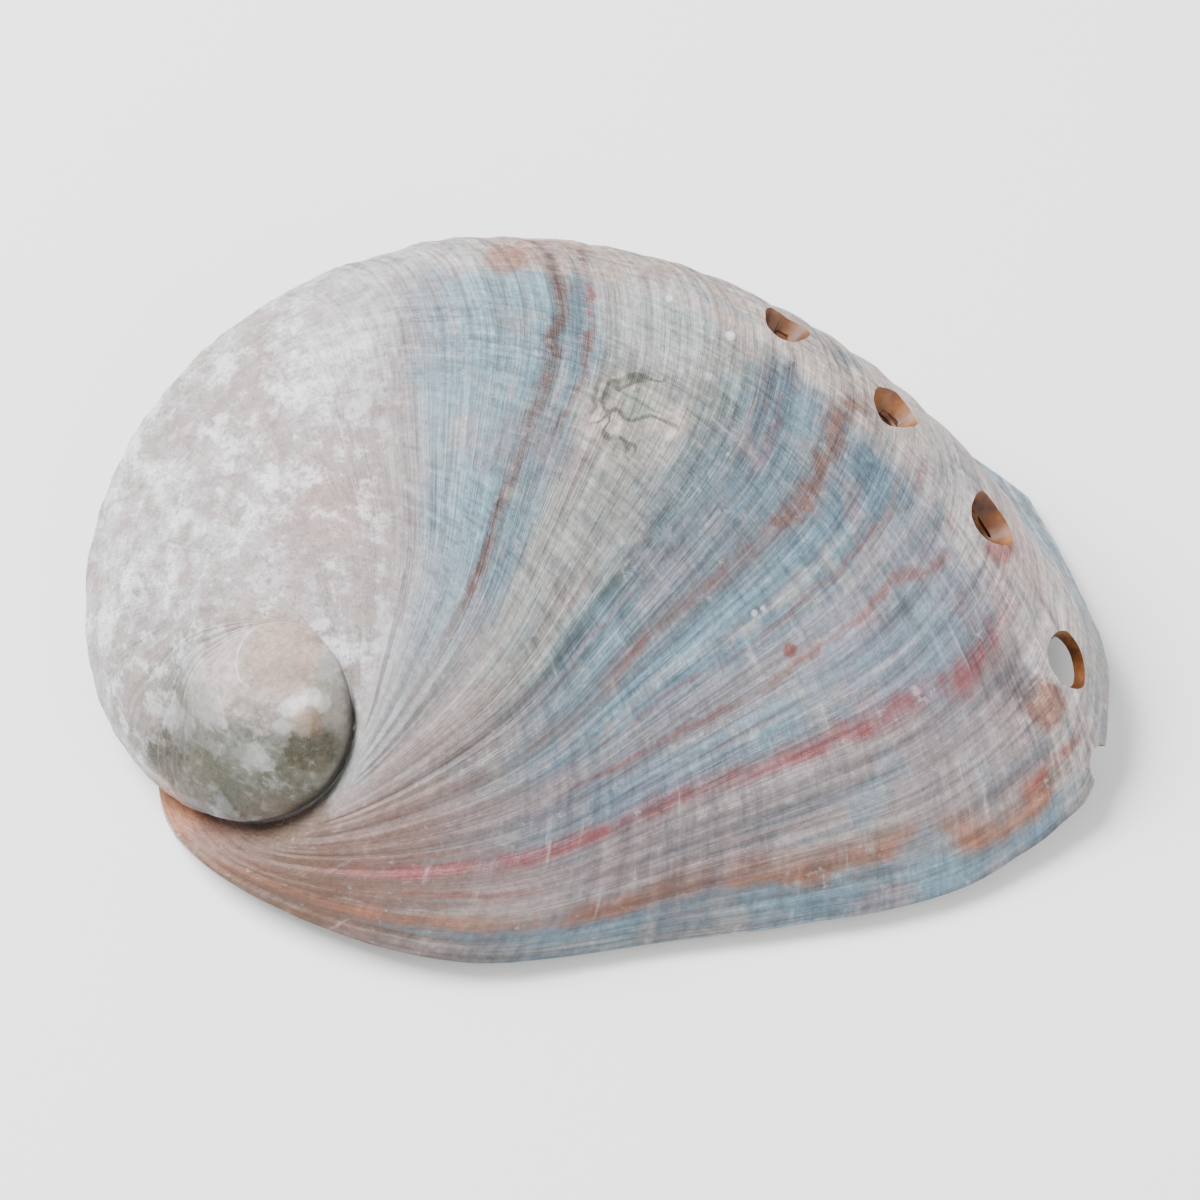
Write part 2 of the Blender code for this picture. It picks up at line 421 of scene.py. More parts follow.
def grown_skin(settings):
    """Open outside skin with relief, the growth map and the wall thickness as a group."""
    rows = row_ages()
    cols = columns()
    bm = bmesh.new()
    wall = bm.verts.layers.deform.verify()
    age_of = bm.verts.layers.float.new("age")
    u_of = bm.verts.layers.float.new("u")
    growth = bm.loops.layers.uv.new("growth")
    bmesh.ops.create_grid(bm, x_segments=len(cols) - 1, y_segments=len(rows) - 1, size=0.5)
    for vert in bm.verts:
        vert[u_of] = cols[round((vert.co.x + 0.5) * (len(cols) - 1))]
        vert[age_of] = rows[round((vert.co.y + 0.5) * (len(rows) - 1))]
    for face in bm.faces:
        for loop in face.loops:
            loop[growth].uv = (loop.vert[age_of] / 100.0, loop.vert[u_of])
    for vert in bm.verts:
        age, u = vert[age_of], vert[u_of]
        chip = 0.5 + 0.5 * noise.noise((u * CHIP_NOISE[0],) + CHIP_NOISE[1:])
        chip *= settings.edge_chips * bump_at(age, CHIP_REACH_DEG) * smooth(u / CHIPS_FROM)
        vert.co = place(skin(age + chip, u))
        vert[wall][0] = wall_share(age, u)
    bmesh.ops.remove_doubles(bm, verts=list(bm.verts), dist=MERGE)
    bmesh.ops.dissolve_degenerate(bm, edges=list(bm.edges), dist=MERGE)
    closed_tip(bm, growth)
    bmesh.ops.recalc_face_normals(bm, faces=list(bm.faces))
    if sum(face.normal.z * face.calc_area() for face in bm.faces) < 0.0:
        bmesh.ops.reverse_faces(bm, faces=list(bm.faces))

    crease = [vert for vert in bm.verts if not vert.is_boundary and (
        (vert[u_of] < CREASE_SHARE and vert[age_of] > CREASE_FROM_DEG)
        or (vert[u_of] > 1.0 - CREASE_SHARE and vert[age_of] > SUTURE_LAG_DEG + CREASE_FROM_DEG))]
    for _ in range(CREASE_PASSES):
        bmesh.ops.smooth_vert(bm, verts=crease, factor=0.5, **ALL_AXES)
    worn_cap(bm, wall)
    bm.normal_update()

    bead = place(BEAD_PLACE)
    moves = []
    for vert in bm.verts:
        age, u = vert[age_of], vert[u_of]
        away = smooth(u / RELIEF_FADES[0]) * smooth((1.0 - u) / RELIEF_FADES[1])
        height = relief(age, u, settings) * away + worn(vert.co, age)
        height += BEAD_HEIGHT * bump_at((vert.co - bead).length / MM, BEAD_WIDTH)
        moves.append((vert, vert.co + vert.normal * height * MM))
    for vert, target in moves:
        vert.co = target
    bm.normal_update()
    for vert in bm.verts:
        if vert[u_of] < FOLD_SHARE or vert[u_of] > 1.0 - FOLD_SHARE:
            near = sum((edge.other_vert(vert).normal for edge in vert.link_edges), Vector())
            even = smooth((vert.normal.dot(near.normalized()) - FOLD_FROM) / FOLD_SPAN)
            vert[wall][0] *= even * (1.0 - FOLD_WALL) + FOLD_WALL
    bm.verts.layers.float.remove(age_of)
    bm.verts.layers.float.remove(bm.verts.layers.float["u"])
    return bm


def oval_cut(bm, age, size, taper, lean):
    """Oval rod through the wall at one place of the hole row, narrower and leaning inwards."""
    centre = skin(age, HOLE_ROW)
    along = (skin(age - PROBE_DEG, HOLE_ROW) - skin(age + PROBE_DEG, HOLE_ROW)).normalized()
    across = skin(age, HOLE_ROW + PROBE_SHARE) - skin(age, HOLE_ROW - PROBE_SHARE)
    up = along.cross(across).normalized()
    side = up.cross(along)
    turn = Matrix((along, side, up + lean * side)).transposed().to_4x4()
    middle = centre + (up + lean * side) * 0.5 * (CUT_ABOVE - CUT_BELOW)
    rod = bmesh.ops.create_cone(
        bm, cap_ends=True, segments=CUT_SIDES, depth=(CUT_ABOVE + CUT_BELOW) * MM,
        radius1=0.5 * (1.0 - taper * CUT_BELOW) * MM, radius2=0.5 * (1.0 + taper * CUT_ABOVE) * MM)
    bmesh.ops.scale(bm, vec=(size[0], size[1], 1.0), verts=rod["verts"])
    bmesh.ops.transform(bm, matrix=Matrix.Translation(place(middle)) @ turn, verts=rod["verts"])


def hole_cutter():
    """All the oval rods that open the holes and the notch of the next one."""
    bm = bmesh.new()
    for index, size in enumerate(HOLE_SIZES):
        age = FIRST_HOLE_DEG + HOLE_STEP_DEG * index
        oval_cut(bm, age, size, HOLE_TAPERS[index], HOLE_LEANS[index])
    oval_cut(bm, 0.0, NOTCH_SIZE, HOLE_TAPERS[-1], HOLE_LEANS[-1])
    bmesh.ops.recalc_face_normals(bm, faces=list(bm.faces))
    return bm


def made_object(bm, name, materials):
    """Object of the scene made from a bmesh."""
    mesh = bpy.data.meshes.new(name)
    bm.to_mesh(mesh)
    bm.free()
    for material in materials:
        mesh.materials.append(material)
    obj = bpy.data.objects.new(name, mesh)
    bpy.context.scene.collection.objects.link(obj)
    return obj


# Soft limits of a shader range
SOFT = {"interpolation_type": "SMOOTHSTEP"}


def add(tree, kind, inputs=None, ramp=None, give=None, **settings):
    """Add a shader node, set its properties, ramp stops and inputs, and give back its output."""
    made = tree.nodes.new("ShaderNode" + kind)
    for key, value in settings.items():
        setattr(made, key, value)
    if ramp:
        ramp_stops = made.color_ramp.elements
        while len(ramp_stops) > 1:
            ramp_stops.remove(ramp_stops[-1])
        ramp_stops[0].position = ramp[0][0]
        ramp_stops[0].color = linear(ramp[0][1])
        for position, colour in ramp[1:]:
            ramp_stops.new(position).color = linear(colour)
    for key, value in (inputs or {}).items():
        if isinstance(value, bpy.types.NodeSocket):
            tree.links.new(value, made.inputs[key])
        else:
            made.inputs[key].default_value = value
    if give:
        return made.outputs[give]
    return next((out for out in made.outputs if out.enabled), None)


def new_tree(name):
    """Empty node material and its tree."""
    material = bpy.data.materials.new(name)
    material.use_nodes = True
    material.node_tree.nodes.clear()
    return material, material.node_tree


# Bands of the outer layer along its growth, in degrees of growth back from the edge
YOUNG_SPAN = 110.0
YOUNG_BANDS = (
    (0.0, "#7b878c"), (1.4, "#7f8f99"), (5.0, "#7f98a5"), (6.0, "#9a796b"), (8.0, "#a79a97"),
    (12.0, "#aca3a3"), (17.0, "#a69a9b"), (19.0, "#9b7476"), (21.0, "#949aa6"), (24.0, "#93a4b1"),
    (28.0, "#a5a3aa"), (31.0, "#a9a7ad"), (34.0, "#869ca9"), (38.0, "#829eac"), (41.0, "#8d8b8f"),
    (44.0, "#7f96a2"), (48.0, "#6f808b"), (52.0, "#768687"), (56.0, "#a9a9a3"), (62.0, "#b1b2ab"),
    (68.0, "#a9aaa5"), (71.0, "#8399a4"), (74.0, "#76909c"), (76.0, "#6b605d"), (78.0, "#86a5b0"),
)
OLD_SPAN = 560.0
OLD_BANDS = (
    (78.0, "#93b0bb"), (86.0, "#a0b8c2"), (92.0, "#a4b6c0"), (95.0, "#acaeb3"), (98.0, "#b9adad"),
    (110.0, "#bfb2b0"), (125.0, "#c6bbbb"), (145.0, "#cec6c6"), (170.0, "#dfdcde"), (195.0, "#cac4c4"),
    (212.0, "#b1aca8"), (235.0, "#8b867e"), (270.0, "#7b7970"), (300.0, "#757368"), (330.0, "#77736a"),
    (360.0, "#8f8a82"), (560.0, "#96908a"),
)
SUTURE_SPAN = 360.0
SUTURE_BANDS = (
    (0.0, "#805f4e"), (8.0, "#88695b"), (20.0, "#8a6e64"), (40.0, "#957c74"), (60.0, "#a1938e"),
    (80.0, "#adadae"), (100.0, "#bdb6b7"), (140.0, "#c2bcbf"), (200.0, "#bcb9bd"), (360.0, "#b6b2b3"),
)
CREST_SPAN = 200.0
CREST_BANDS = (
    (0.0, "#b0a8a2"), (4.0, "#cbc5c1"), (9.0, "#e9dcd6"), (16.0, "#f0e4de"), (21.0, "#e0c9c2"),
    (27.0, "#d3cecb"), (40.0, "#dacabf"), (52.0, "#d2c9c1"), (58.0, "#ccb0a5"), (64.0, "#dacdc2"),
    (79.0, "#d3b3a5"), (86.0, "#dad5d2"), (120.0, "#e0dcdb"), (200.0, "#d6d3d6"),
)
MARGIN_BANDS = (
    (0.0, "#c6ccce"), (8.0, "#c6d5dc"), (30.0, "#c0d0d8"), (75.0, "#bccdd4"), (85.0, "#b8c4c8"),
    (110.0, "#c6c8c8"), (200.0, "#d3d0cf"),
)

# Coloured lines along old edges: degrees, half width, middle and reach along the edge, strength
STRIPES = (
    (6.7, 1.6, 0.32, 0.24, 0.80, "#ad7a64"),
    (7.8, 0.5, 0.56, 0.05, 0.80, "#a4574c"),
    (18.9, 1.15, 0.34, 0.22, 0.85, "#a25f62"),
    (17.6, 0.8, 0.44, 0.18, 0.35, "#c9babd"),
    (28.2, 0.45, 0.40, 0.17, 0.65, "#a0655c"),
    (33.2, 0.3, 0.42, 0.18, 0.55, "#9a6661"),
    (35.6, 0.5, 0.34, 0.12, 0.45, "#d3cfcd"),
    (41.2, 0.9, 0.44, 0.16, 0.85, "#86584b"),
    (47.4, 0.3, 0.40, 0.17, 0.60, "#7c5b66"),
    (52.8, 0.5, 0.36, 0.16, 0.50, "#c9c9c4"),
    (71.4, 0.5, 0.50, 0.14, 0.90, "#84524a"),
    (76.0, 0.9, 0.42, 0.22, 1.0, "#6b514b"),
    (82.0, 0.5, 0.30, 0.16, 0.35, "#8299a3"),
    (13.0, 0.5, 0.12, 0.10, 0.70, "#8a5a4c"),
    (22.0, 0.5, 0.10, 0.09, 0.65, "#8b6256"),
    (33.0, 0.6, 0.12, 0.08, 0.50, "#956c62"),
)

# Marks at their own places: middle in millimetres, radius, ragged edge, strength, colour
MARKS = (
    # Olive growth on the spire, darkened as painted shade on its lower near wall
    ((-33.0, -19.8, 11.5), 9.0, 6.0, 0.70, "#5f6154"),
    ((-32.4, -11.6, 21.6), 7.5, 6.0, 0.85, "#beb0aa"),
    ((-36.8, -13.6, 17.0), 4.0, 5.0, 0.50, "#cdc8c5"),
    # Dark olive marks low on the spire's near and left wall: olive growth, darker with painted shade
    ((-29.4, -20.6, 12.4), 3.8, 3.0, 0.85, "#4b4d3a"),
    ((-34.4, -20.4, 9.4), 3.8, 4.0, 0.85, "#484b3d"),
    ((-37.4, -17.7, 10.9), 3.6, 4.0, 0.80, "#56543f"),
    ((-40.2, -12.4, 13.8), 2.6, 3.0, 0.70, "#6f6a5c"),
    ((-41.5, -15.1, 8.5), 3.8, 3.0, 0.85, "#45402f"),
    ((-39.4, -18.4, 5.5), 3.6, 3.0, 0.60, "#5f564b"),
    ((-32.4, -18.4, 14.6), 2.0, 4.0, 0.45, "#b2b0ac"),
    # Olive growth and painted shade in the crease below the bead of the first shell
    ((-27.2, -18.9, 16.6), 3.6, 1.6, 1.0, "#413e22"),
    ((-27.4, -16.9, 18.9), 2.0, 1.2, 0.75, "#8f765f"),
    # Pale rim of the first shell, brightened as painted highlight on the top of the bead
    ((-29.7, -17.4, 18.5), 1.1, 0.8, 0.45, "#cfc8c3"),
    ((-29.1, -16.2, 19.9), 1.2, 0.8, 0.50, "#d9d3cf"),
    ((-28.2, -15.5, 20.4), 1.2, 0.8, 0.50, "#ddd8d4"),
    ((-27.0, -15.3, 20.5), 1.2, 0.8, 0.50, "#ddd8d4"),
    ((-25.9, -15.7, 20.1), 1.1, 0.8, 0.45, "#d3cdc9"),
    ((-29.6, -11.6, 22.6), 4.6, 4.0, 0.50, "#b8998b"),
    ((-37.1, -6.3, 21.0), 1.4, 1.6, 0.60, "#93827c"),
    ((-44.3, 0.2, 14.4), 1.6, 1.6, 0.65, "#8d7d78"),
    ((-43.8, -4.0, 13.8), 1.5, 1.6, 0.55, "#96837d"),
    ((-35.5, -2.0, 22.0), 4.0, 5.0, 0.45, "#a39c92"),
    ((-26.0, 2.0, 26.0), 6.0, 6.0, 0.45, "#bfa69c"),
    ((-41.5, -17.3, 2.0), 4.5, 2.0, 0.70, "#b98a72"),
    ((9.5, 3.4, 24.2), 8.0, 7.0, 0.45, "#6a7f8a"),
    ((6.7, -4.0, 21.5), 7.0, 6.0, 0.35, "#71838c"),
    ((14.0, -0.4, 22.1), 5.0, 5.0, 0.40, "#74808a"),
    ((-6.8, 8.4, 26.8), 5.5, 5.0, 0.45, "#74787d"),
    ((-12.2, 14.6, 27.6), 5.0, 5.0, 0.35, "#8aa5af"),
    ((9.4, -29.5, 2.6), 6.0, 4.0, 0.35, "#827f84"),
    ((-30.1, -25.9, 6.1), 9.0, 5.0, 0.50, "#705647"),
    # Painted highlight: whitened upper left of the dome, where the light falls
    ((-26.3, 23.0, 24.8), 9.0, 6.0, 0.50, "#f4f3f5"),
    ((2.8, 11.0, 27.0), 6.8, 2.0, 0.85, "#c3bbb2"),
    ((0.4, 10.9, 27.0), 2.6, 1.4, 0.90, "#dccbc6"),
    ((6.5, 10.6, 26.6), 2.0, 1.2, 0.90, "#dfd2c9"),
    ((3.6, 12.6, 27.3), 2.0, 1.6, 0.70, "#9fac9c"),
    ((1.0, 2.7, 24.9), 4.0, 4.0, 0.50, "#a3a09a"),
    ((45.1, -5.6, 10.3), 3.8, 1.2, 0.60, "#dfd3cb"),
    ((38.4, 6.6, 17.1), 3.6, 1.2, 0.60, "#dfd0c6"),
    ((28.7, 15.6, 22.7), 3.4, 1.2, 0.60, "#dfd0c4"),
    ((17.4, 22.5, 26.4), 3.2, 1.2, 0.60, "#dfd0c4"),
    ((42.6, -9.9, 9.4), 3.0, 2.2, 0.80, "#a2705c"),
    ((40.4, -8.6, 10.9), 2.2, 1.4, 0.60, "#837c7e"),
    ((38.2, 3.2, 16.9), 2.2, 1.8, 0.70, "#b5746c"),
    ((-9.2, 29.0, 27.6), 2.4, 1.8, 0.65, "#b98470"),
    ((5.3, 26.5, 28.0), 2.0, 1.4, 0.60, "#b08a80"),
    ((18.0, -8.6, 17.3), 0.8, 0.8, 0.80, "#a8695c"),
    ((31.3, -23.9, 3.8), 4.0, 2.0, 0.50, "#8fb0be"),
    ((6.0, 22.0, 28.0), 7.0, 4.0, 0.55, "#d0d4d2"),
    # Painted highlight on the upper left of the dome
    ((-26.0, 17.0, 25.5), 7.0, 5.0, 0.45, "#e6e5e8"),
    # Painted glints: tiny white spots that stand for specular sparkles
    ((6.7, 24.3, 28.0), 0.5, 0.3, 0.90, "#ffffff"),
    ((12.5, 20.5, 27.2), 0.6, 0.5, 0.80, "#f4f6f6"),
    ((14.6, -5.7, 19.5), 0.4, 0.3, 0.85, "#fbfbfb"),
    ((15.4, -5.3, 19.6), 0.4, 0.3, 0.85, "#fbfbfb"),
)
SCAR_PLACE = (3.4, 12.0, 27.2)

# Pale line where a young turn meets the older one: middle and half width along the edge
SUTURE_LINE = (0.006, 0.016)

# Noise in growth coordinates: name, steps per degree, steps per edge length, seed, detail,
# roughness. A degree is 1.5 mm at the edge and the edge is 190 mm long, so cords of 125 are
# 1.5 mm apart.
GROWTH_NOISE = (
    ("wander", 0.055, 9.0, 2.0, 2.0, 0.5),
    ("presence", 0.06, 8.0, 21.0, 3.0, 0.6),
    ("ragged", 0.30, 60.0, 9.0, 3.0, 0.6),
    ("gaps", 0.09, 34.0, 5.0, 3.0, 0.6),
    ("clouds", 0.10, 16.0, 12.0, 4.0, 0.6),
    ("streaks", 0.42, 7.0, 31.0, 3.0, 0.6),
    ("lines", 1.10, 5.0, 3.0, 4.0, 0.72),
    ("cords", 0.07, 125.0, 7.0, 3.0, 0.65),
    ("weave", 0.55, 75.0, 14.0, 3.0, 0.7),
)
# Noise in the shell's own space, features of about 6, 2 and 0.6 millimetres: name, scale, detail
SPACE_NOISE = (("patches", 170.0, 4.0), ("mottle", 480.0, 4.0), ("grain", 1600.0, 3.0))

# Layers of colour: noise, level where they start, level where they are full, strength, colour
DRIFTS = (
    ("clouds", 0.52, 0.68, 0.50, "#bfa3a1"), ("clouds", 0.47, 0.32, 0.45, "#92b0bc"),
    ("patches", 0.54, 0.70, 0.45, "#d0c8be"), ("patches", 0.45, 0.30, 0.35, "#9c98a8"),
    ("streaks", 0.53, 0.68, 0.50, "#c2b9b6"), ("streaks", 0.47, 0.32, 0.55, "#6f828c"),
)
# Painted glints on raised tops, then darker pits where the bump is low
PAINTED_GLINTS_AND_PITS = (
    ("weave", 0.60, 0.75, 0.16, "#e6e4e3"), ("cords", 0.62, 0.76, 0.20, "#dfe3e6"),
    ("mottle", 0.62, 0.74, 0.25, "#e2dfde"), ("mottle", 0.36, 0.26, 0.30, "#7d7777"),
)
BLOTCHES = (
    ("mottle", 0.49, 0.61, 0.60, "#8f8179"), ("patches", 0.50, 0.62, 0.50, "#a5978f"),
    ("patches", 0.47, 0.38, 0.50, "#f2f0f2"), ("mottle", 0.47, 0.34, 0.45, "#f4f2f4"),
    ("grain", 0.53, 0.63, 0.50, "#7a6e69"),
)

# How far a band leans from suture to front corner, bows and frays, in degrees of growth, and
# the sum of the means, which is taken off again
LEAN = 12.0
BOWED = 7.0
RAGGED = 2.6
BAND_MEAN = 9.0

# Soft limits of a line, in half widths and as most strength, and its ends as a share of the edge
STRIPE_EDGES = (1.9, 0.2, 0.85)
STRIPE_END = 0.03

# Share of a mark's radius that is full, and half the depth of its ragged edge
MARK_CORE = 0.55
MARK_RAGGED = 0.8


def outer_shell():
    """Weathered outer layer of an abalone shell: calcite grown in bands, rubbed by sand.

    It gives the eye satin pastel bands along old edges, fine cords across them, broken red
    and brown lines, and worn, chalky patches on the older dome.
    """
    material, tree = new_tree("weathered_outer_shell")
    growth = add(tree, "UVMap", uv_map="growth")
    share = add(tree, "SeparateXYZ", {0: growth}, give="X")
    age = add(tree, "Math", {0: share, 1: 100.0}, operation="MULTIPLY")
    u = add(tree, "SeparateXYZ", {0: growth}, give="Y")
    solid = add(tree, "TexCoord", give="Object")

    # Noise drawn out along old edges or along the cords: scale by growth and by edge, detail
    fields = {}
    for name, along, across, seed, detail, rough in GROWTH_NOISE:
        x = add(tree, "Math", {0: age, 1: along}, operation="MULTIPLY")
        y = add(tree, "Math", {0: u, 1: across}, operation="MULTIPLY")
        spread = add(tree, "CombineXYZ", {0: x, 1: y, 2: seed})
        fields[name] = add(tree, "TexNoise", {
            "Vector": spread, "Scale": 1.0, "Detail": detail, "Roughness": rough})
    for name, scale, detail in SPACE_NOISE:
        fields[name] = add(tree, "TexNoise", {
            "Vector": solid, "Scale": scale, "Detail": detail, "Roughness": 0.68})

    # Bands lean against the growing edge and wander by about two millimetres
    leaned = add(tree, "Math", {0: u, 1: LEAN, 2: age}, operation="MULTIPLY_ADD")
    bowed = add(tree, "Math", {0: fields["wander"], 1: BOWED, 2: leaned}, operation="MULTIPLY_ADD")
    torn = add(tree, "MapRange", {0: age, 1: 280.0, 2: 200.0, 4: RAGGED}, **SOFT)
    ragged = add(tree, "Math", {0: fields["ragged"], 1: torn, 2: bowed}, operation="MULTIPLY_ADD")
    banded = add(tree, "Math", {0: ragged, 1: BAND_MEAN}, operation="SUBTRACT")

    zones = []
    for bands, span in (
            (YOUNG_BANDS, YOUNG_SPAN), (OLD_BANDS, OLD_SPAN), (SUTURE_BANDS, SUTURE_SPAN),
            (CREST_BANDS, CREST_SPAN), (MARGIN_BANDS, CREST_SPAN)):
        place_on = add(tree, "Math", {0: banded, 1: 1.0 / span}, operation="MULTIPLY")
        zones.append(add(tree, "ValToRGB", {0: place_on}, ramp=[(a / span, c) for a, c in bands]))
    soft_u = add(tree, "Math", {0: fields["clouds"], 1: 0.07, 2: u}, operation="MULTIPLY_ADD")
    aged_u = add(tree, "MapRange", {0: age, 1: 70.0, 2: 200.0, 3: 0.0, 4: 0.12}, **SOFT)
    low_u = add(tree, "Math", {0: soft_u, 1: aged_u}, operation="ADD")
    turns = add(tree, "MapRange", {0: age, 1: 290.0, 2: 230.0}, **SOFT)
    colour = zones[0]
    for value, low, high, zone in (
            (banded, 77.5, 79.0, 1), (low_u, 0.30, 0.16, 2), (soft_u, 0.565, 0.61, 3),
            (u, 0.71, 0.745, 4)):
        factor = add(tree, "MapRange", {0: value, 1: low, 2: high}, **SOFT)
        if zone > 1:
            factor = add(tree, "Math", {0: factor, 1: turns}, operation="MULTIPLY")
        colour = add(tree, "Mix", {0: factor, 6: colour, 7: zones[zone]}, data_type="RGBA")

    # Drifts of pink, teal and cream that cross the bands, calm by the suture
    calm = add(tree, "MapRange", {0: u, 1: 0.03, 2: 0.28, 3: 0.14}, **SOFT)
    for name, low, high, strength, tint in DRIFTS:
        factor = add(tree, "MapRange", {0: fields[name], 1: low, 2: high, 4: strength}, **SOFT)
        young = add(tree, "MapRange", {0: age, 1: 130.0, 2: 85.0, 3: 0.12}, **SOFT)
        factor = add(tree, "Math", {0: factor, 1: young}, operation="MULTIPLY")
        factor = add(tree, "Math", {0: factor, 1: calm}, operation="MULTIPLY")
        colour = add(tree, "Mix", {0: factor, 6: colour, 7: linear(tint)}, data_type="RGBA")

    # Red, brown and pale lines, broken where the gaps field is low
    gaps = add(tree, "MapRange", {0: fields["gaps"], 1: 0.34, 2: 0.54, 3: 0.14}, **SOFT)
    for middle, half, centre, reach, strength, tint in STRIPES:
        off = add(tree, "Math", {0: banded, 1: middle}, operation="SUBTRACT")
        off = add(tree, "Math", {0: off}, operation="ABSOLUTE")
        wide, narrow, most = STRIPE_EDGES
        near = add(tree, "MapRange", {0: off, 1: wide * half, 2: narrow * half, 4: most * strength}, **SOFT)
        side = add(tree, "Math", {0: u, 1: centre}, operation="SUBTRACT")
        side = add(tree, "Math", {0: side}, operation="ABSOLUTE")
        within = add(tree, "MapRange", {0: side, 1: reach + STRIPE_END, 2: reach - STRIPE_END}, **SOFT)
        factor = add(tree, "Math", {0: near, 1: within}, operation="MULTIPLY")
        factor = add(tree, "Math", {0: factor, 1: gaps}, operation="MULTIPLY")
        colour = add(tree, "Mix", {0: factor, 6: colour, 7: linear(tint)}, data_type="RGBA")

    # Marks at their own places: marks of age and growth, and also painted shade, painted highlights and
    # painted glints
    for centre, radius, ragged_edge, strength, tint in MARKS:
        away = add(tree, "VectorMath", {0: solid, 1: place(centre)}, give="Value", operation="DISTANCE")
        frayed = {0: fields["mottle"], 1: 2.0 * MARK_RAGGED * ragged_edge * MM, 2: away}
        rim = add(tree, "Math", frayed, operation="MULTIPLY_ADD")
        edge = MARK_RAGGED * ragged_edge
        outer, inner = (radius + edge) * MM, (MARK_CORE * radius + edge) * MM
        factor = add(tree, "MapRange", {0: rim, 1: outer, 2: inner, 4: strength}, **SOFT)
        colour = add(tree, "Mix", {0: factor, 6: colour, 7: linear(tint)}, data_type="RGBA")

    # Pale line of the suture
    off = add(tree, "Math", {0: u, 1: SUTURE_LINE[0]}, operation="SUBTRACT")
    off = add(tree, "Math", {0: off}, operation="ABSOLUTE")
    near = add(tree, "MapRange", {0: off, 1: SUTURE_LINE[1], 2: 0.3 * SUTURE_LINE[1], 4: 0.75}, **SOFT)
    later = add(tree, "MapRange", {0: age, 1: 12.0, 2: 40.0}, **SOFT)
    factor = add(tree, "Math", {0: near, 1: later}, operation="MULTIPLY")
    colour = add(tree, "Mix", {0: factor, 6: colour, 7: linear("#d9d3d1")}, data_type="RGBA")

    # Dark green cracks of the healed scar, drawn by the level lines of a slow noise
    slow = add(tree, "TexNoise", {"Vector": solid, "Scale": 210.0, "Detail": 1.0, "Distortion": 0.8})
    level = add(tree, "Math", {0: slow, 1: 0.5}, operation="SUBTRACT")
    level = add(tree, "Math", {0: level}, operation="ABSOLUTE")
    crack = add(tree, "MapRange", {0: level, 1: 0.045, 2: 0.012, 4: 0.80}, **SOFT)
    away = add(tree, "VectorMath", {0: solid, 1: place(SCAR_PLACE)}, give="Value", operation="DISTANCE")
    inside = add(tree, "MapRange", {0: away, 1: 5.4 * MM, 2: 3.6 * MM}, **SOFT)
    factor = add(tree, "Math", {0: crack, 1: inside}, operation="MULTIPLY")
    colour = add(tree, "Mix", {0: factor, 6: colour, 7: linear("#5c6450")}, data_type="RGBA")

    # Growth lines about a millimetre apart, cords one and a half apart, and the grain between.
    # They fade with age, towards the suture and on the rubbed spire.
    dome = add(tree, "MapRange", {0: age, 1: 88.0, 2: 118.0}, **SOFT)
    before = add(tree, "MapRange", {0: age, 1: 245.0, 2: 205.0, 3: 0.20}, **SOFT)
    dome = add(tree, "Math", {0: dome, 1: before}, operation="MULTIPLY")
    fresh = add(tree, "MapRange", {0: age, 1: 125.0, 2: 85.0, 3: 0.45}, **SOFT)
    rubbed = add(tree, "MapRange", {0: age, 1: 300.0, 2: 215.0, 3: 0.08}, **SOFT)
    fresh = add(tree, "Math", {0: fresh, 1: rubbed}, operation="MULTIPLY")
    crisp = add(tree, "MapRange", {0: fields["presence"], 1: 0.36, 2: 0.60, 3: 0.30}, **SOFT)
    crisp = add(tree, "Math", {0: crisp, 1: fresh}, operation="MULTIPLY")
    fresh = add(tree, "Math", {0: fresh, 1: calm}, operation="MULTIPLY")
    crisp = add(tree, "Math", {0: crisp, 1: calm}, operation="MULTIPLY")
    grainy = add(tree, "MapRange", {0: age, 1: 300.0, 2: 60.0, 3: 0.9, 4: 0.75})
    for name, low, high, shade, strength in (
            ("lines", 0.30, 0.70, "#bcb8b8", fresh), ("cords", 0.34, 0.62, "#d0d4d8", crisp),
            ("weave", 0.34, 0.64, "#e0dede", crisp), ("grain", 0.30, 0.70, "#d8d6d5", grainy)):
        factor = add(tree, "MapRange", {0: fields[name], 1: low, 2: high}, **SOFT)
        shades = {0: factor, 6: linear(shade), 7: linear("#ffffff")}
        darker = {0: strength, 6: colour, 7: add(tree, "Mix", shades, data_type="RGBA")}
        colour = add(tree, "Mix", darker, data_type="RGBA", blend_type="MULTIPLY")

    # Painted glints on the raised tops of the cords, weave and mottle, and darker small pits where the
    # mottle, and so the bump, is low
    for name, low, high, strength, tint in PAINTED_GLINTS_AND_PITS:
        factor = add(tree, "MapRange", {0: fields[name], 1: low, 2: high, 4: strength}, **SOFT)
        colour = add(tree, "Mix", {0: factor, 6: colour, 7: linear(tint)}, data_type="RGBA")

    # Chalky and grey brown blotches of the old dome
    for name, low, high, strength, tint in BLOTCHES:
        factor = add(tree, "MapRange", {0: fields[name], 1: low, 2: high, 4: strength}, **SOFT)
        factor = add(tree, "Math", {0: factor, 1: dome}, operation="MULTIPLY")
        colour = add(tree, "Mix", {0: factor, 6: colour, 7: linear(tint)}, data_type="RGBA")

    # Deeper contrast of the whole, and a trace of cool cast
    colour = add(tree, "Gamma", {"Gamma": 1.14, "Color": colour})
    colour = add(tree, "HueSaturation", {"Saturation": 1.12, "Value": 1.14, "Color": colour})
    cool = {0: 1.0, 6: colour, 7: linear("#f6fafd")}
    colour = add(tree, "Mix", cool, data_type="RGBA", blend_type="MULTIPLY")

